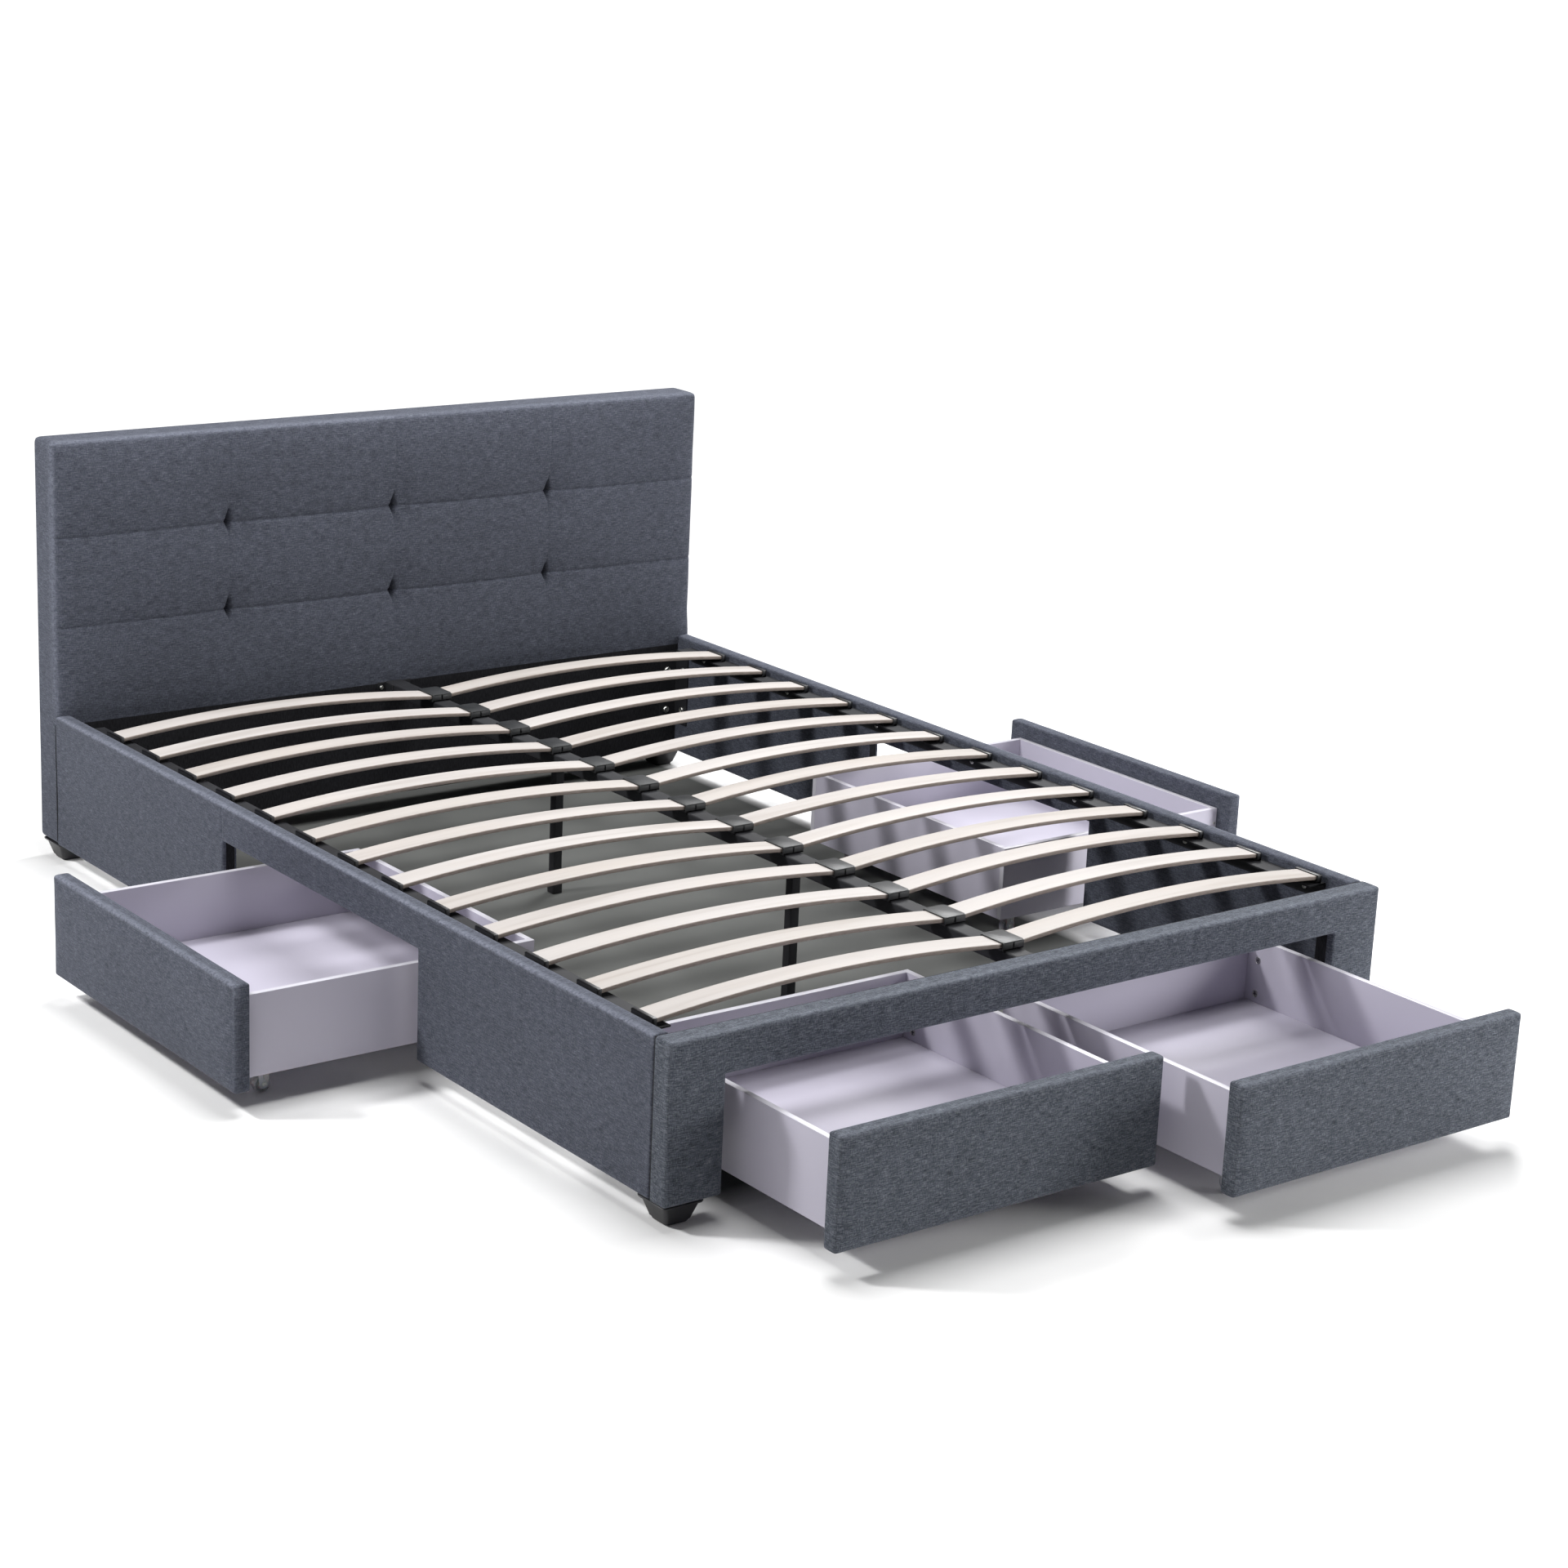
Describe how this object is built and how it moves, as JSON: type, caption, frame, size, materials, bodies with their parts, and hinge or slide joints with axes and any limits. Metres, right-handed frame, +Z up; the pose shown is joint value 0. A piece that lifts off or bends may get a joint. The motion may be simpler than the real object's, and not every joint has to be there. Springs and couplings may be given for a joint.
{
  "type": "platform storage bed",
  "caption": "Upholstered platform bed frame with tufted headboard, bowed wooden slats on a centre beam, and storage drawers rolling on castors at the sides and foot.",
  "frame": {"origin": "on the floor, under the middle of the whole object's box with the drawers as stored", "axes": "+X across the bed, to the right as seen from its foot; +Y from the foot panel towards the headboard; +Z up"},
  "size_m": [2.36, 2.73, 0.89],
  "materials": {
    "slate_linen": "dark slate blue linen-look weave, matt",
    "foot_linen": "the same weave, a little greener in its light",
    "birch": "pale birch plywood, satin lacquer",
    "black_steel": "black powder coat",
    "black_plastic": "moulded black plastic, satin",
    "melamine": "white melamine faced board, cool tint, satin",
    "castor_grey": "grey translucent nylon"
  },
  "bodies": {
    "bed_frame": {"headboard": "slate_linen", "foot_panel": "foot_linen", "side_rail_left": "slate_linen", "side_rail_right": "slate_linen", "corner_foot_foot_left": "black_plastic", "corner_foot_foot_right": "black_plastic", "corner_foot_head_left": "black_plastic", "corner_foot_head_right": "black_plastic", "centre_beam": "black_steel", "slat_left_1": "birch", "slat_right_1": "birch", "slat_left_2": "birch", "slat_right_2": "birch", "slat_left_3": "birch", "slat_right_3": "birch", "slat_left_4": "birch", "slat_right_4": "birch", "slat_left_5": "birch", "slat_right_5": "birch", "slat_left_6": "birch", "slat_right_6": "birch", "slat_left_7": "birch", "slat_right_7": "birch", "slat_left_8": "birch", "slat_right_8": "birch", "slat_left_9": "birch", "slat_right_9": "birch", "slat_left_10": "birch", "slat_right_10": "birch", "slat_left_11": "birch", "slat_right_11": "birch", "slat_left_12": "birch", "slat_right_12": "birch", "slat_left_13": "birch", "slat_right_13": "birch"},
    "drawer_foot_left": {"drawer_front_foot_left": "slate_linen", "drawer_box_foot_left": "melamine"},
    "drawer_foot_right": {"drawer_front_foot_right": "slate_linen", "drawer_box_foot_right": "melamine"},
    "drawer_left": {"drawer_front_left": "slate_linen", "drawer_box_left": "melamine"},
    "drawer_right": {"drawer_front_right": "slate_linen", "drawer_box_right": "melamine"},
    "castor_foot_left_front_left": {"wheel_foot_left_front_left": "castor_grey"},
    "castor_foot_left_front_right": {"wheel_foot_left_front_right": "castor_grey"},
    "castor_foot_left_back_left": {"wheel_foot_left_back_left": "castor_grey"},
    "castor_foot_left_back_right": {"wheel_foot_left_back_right": "castor_grey"},
    "castor_foot_right_front_left": {"wheel_foot_right_front_left": "castor_grey"},
    "castor_foot_right_front_right": {"wheel_foot_right_front_right": "castor_grey"},
    "castor_foot_right_back_left": {"wheel_foot_right_back_left": "castor_grey"},
    "castor_foot_right_back_right": {"wheel_foot_right_back_right": "castor_grey"},
    "castor_left_front_left": {"wheel_left_front_left": "castor_grey"},
    "castor_left_front_right": {"wheel_left_front_right": "castor_grey"},
    "castor_left_back_left": {"wheel_left_back_left": "castor_grey"},
    "castor_left_back_right": {"wheel_left_back_right": "castor_grey"},
    "castor_right_front_left": {"wheel_right_front_left": "castor_grey"},
    "castor_right_front_right": {"wheel_right_front_right": "castor_grey"},
    "castor_right_back_left": {"wheel_right_back_left": "castor_grey"},
    "castor_right_back_right": {"wheel_right_back_right": "castor_grey"}
  },
  "joints": [
    {"name": "drawer_foot_left_slide", "type": "slide", "parent": "bed_frame", "child": "drawer_foot_left", "axis": [0, -1, 0], "range_m": [-0.285, 0.295]},
    {"name": "drawer_foot_right_slide", "type": "slide", "parent": "bed_frame", "child": "drawer_foot_right", "axis": [0, -1, 0], "range_m": [-0.452, 0.128]},
    {"name": "drawer_left_slide", "type": "slide", "parent": "bed_frame", "child": "drawer_left", "axis": [-1, 0, 0], "range_m": [-0.351, 0.229]},
    {"name": "drawer_right_slide", "type": "slide", "parent": "bed_frame", "child": "drawer_right", "axis": [1, 0, 0], "range_m": [-0.409, 0.171]},
    {"name": "castor_foot_left_front_left_roll", "type": "hinge", "parent": "drawer_foot_left", "child": "castor_foot_left_front_left", "pos_m": [-0.616, -1.096, 0.0165], "axis": [1, 0, 0], "continuous": true},
    {"name": "castor_foot_left_front_right_roll", "type": "hinge", "parent": "drawer_foot_left", "child": "castor_foot_left_front_right", "pos_m": [-0.128, -1.096, 0.0165], "axis": [1, 0, 0], "continuous": true},
    {"name": "castor_foot_left_back_left_roll", "type": "hinge", "parent": "drawer_foot_left", "child": "castor_foot_left_back_left", "pos_m": [-0.616, -0.646, 0.0165], "axis": [1, 0, 0], "continuous": true},
    {"name": "castor_foot_left_back_right_roll", "type": "hinge", "parent": "drawer_foot_left", "child": "castor_foot_left_back_right", "pos_m": [-0.128, -0.646, 0.0165], "axis": [1, 0, 0], "continuous": true},
    {"name": "castor_foot_right_front_left_roll", "type": "hinge", "parent": "drawer_foot_right", "child": "castor_foot_right_front_left", "pos_m": [0.07, -1.263, 0.0165], "axis": [1, 0, 0], "continuous": true},
    {"name": "castor_foot_right_front_right_roll", "type": "hinge", "parent": "drawer_foot_right", "child": "castor_foot_right_front_right", "pos_m": [0.558, -1.263, 0.0165], "axis": [1, 0, 0], "continuous": true},
    {"name": "castor_foot_right_back_left_roll", "type": "hinge", "parent": "drawer_foot_right", "child": "castor_foot_right_back_left", "pos_m": [0.07, -0.813, 0.0165], "axis": [1, 0, 0], "continuous": true},
    {"name": "castor_foot_right_back_right_roll", "type": "hinge", "parent": "drawer_foot_right", "child": "castor_foot_right_back_right", "pos_m": [0.558, -0.813, 0.0165], "axis": [1, 0, 0], "continuous": true},
    {"name": "castor_left_front_left_roll", "type": "hinge", "parent": "drawer_left", "child": "castor_left_front_left", "pos_m": [-1.078, 0.456, 0.0165], "axis": [0, -1, 0], "continuous": true},
    {"name": "castor_left_front_right_roll", "type": "hinge", "parent": "drawer_left", "child": "castor_left_front_right", "pos_m": [-1.078, -0.056, 0.0165], "axis": [0, -1, 0], "continuous": true},
    {"name": "castor_left_back_left_roll", "type": "hinge", "parent": "drawer_left", "child": "castor_left_back_left", "pos_m": [-0.628, 0.456, 0.0165], "axis": [0, -1, 0], "continuous": true},
    {"name": "castor_left_back_right_roll", "type": "hinge", "parent": "drawer_left", "child": "castor_left_back_right", "pos_m": [-0.628, -0.056, 0.0165], "axis": [0, -1, 0], "continuous": true},
    {"name": "castor_right_front_left_roll", "type": "hinge", "parent": "drawer_right", "child": "castor_right_front_left", "pos_m": [1.078, -0.056, 0.0165], "axis": [0, 1, 0], "continuous": true},
    {"name": "castor_right_front_right_roll", "type": "hinge", "parent": "drawer_right", "child": "castor_right_front_right", "pos_m": [1.078, 0.456, 0.0165], "axis": [0, 1, 0], "continuous": true},
    {"name": "castor_right_back_left_roll", "type": "hinge", "parent": "drawer_right", "child": "castor_right_back_left", "pos_m": [0.628, -0.056, 0.0165], "axis": [0, 1, 0], "continuous": true},
    {"name": "castor_right_back_right_roll", "type": "hinge", "parent": "drawer_right", "child": "castor_right_back_right", "pos_m": [0.628, 0.456, 0.0165], "axis": [0, 1, 0], "continuous": true}
  ],
  "couplings": [
    {"joint": "castor_foot_left_front_left_roll", "follows": "drawer_foot_left_slide", "rad_per_m": 60.606},
    {"joint": "castor_foot_left_front_right_roll", "follows": "drawer_foot_left_slide", "rad_per_m": 60.606},
    {"joint": "castor_foot_left_back_left_roll", "follows": "drawer_foot_left_slide", "rad_per_m": 60.606},
    {"joint": "castor_foot_left_back_right_roll", "follows": "drawer_foot_left_slide", "rad_per_m": 60.606},
    {"joint": "castor_foot_right_front_left_roll", "follows": "drawer_foot_right_slide", "rad_per_m": 60.606},
    {"joint": "castor_foot_right_front_right_roll", "follows": "drawer_foot_right_slide", "rad_per_m": 60.606},
    {"joint": "castor_foot_right_back_left_roll", "follows": "drawer_foot_right_slide", "rad_per_m": 60.606},
    {"joint": "castor_foot_right_back_right_roll", "follows": "drawer_foot_right_slide", "rad_per_m": 60.606},
    {"joint": "castor_left_front_left_roll", "follows": "drawer_left_slide", "rad_per_m": 60.606},
    {"joint": "castor_left_front_right_roll", "follows": "drawer_left_slide", "rad_per_m": 60.606},
    {"joint": "castor_left_back_left_roll", "follows": "drawer_left_slide", "rad_per_m": 60.606},
    {"joint": "castor_left_back_right_roll", "follows": "drawer_left_slide", "rad_per_m": 60.606},
    {"joint": "castor_right_front_left_roll", "follows": "drawer_right_slide", "rad_per_m": 60.606},
    {"joint": "castor_right_front_right_roll", "follows": "drawer_right_slide", "rad_per_m": 60.606},
    {"joint": "castor_right_back_left_roll", "follows": "drawer_right_slide", "rad_per_m": 60.606},
    {"joint": "castor_right_back_right_roll", "follows": "drawer_right_slide", "rad_per_m": 60.606}
  ]
}
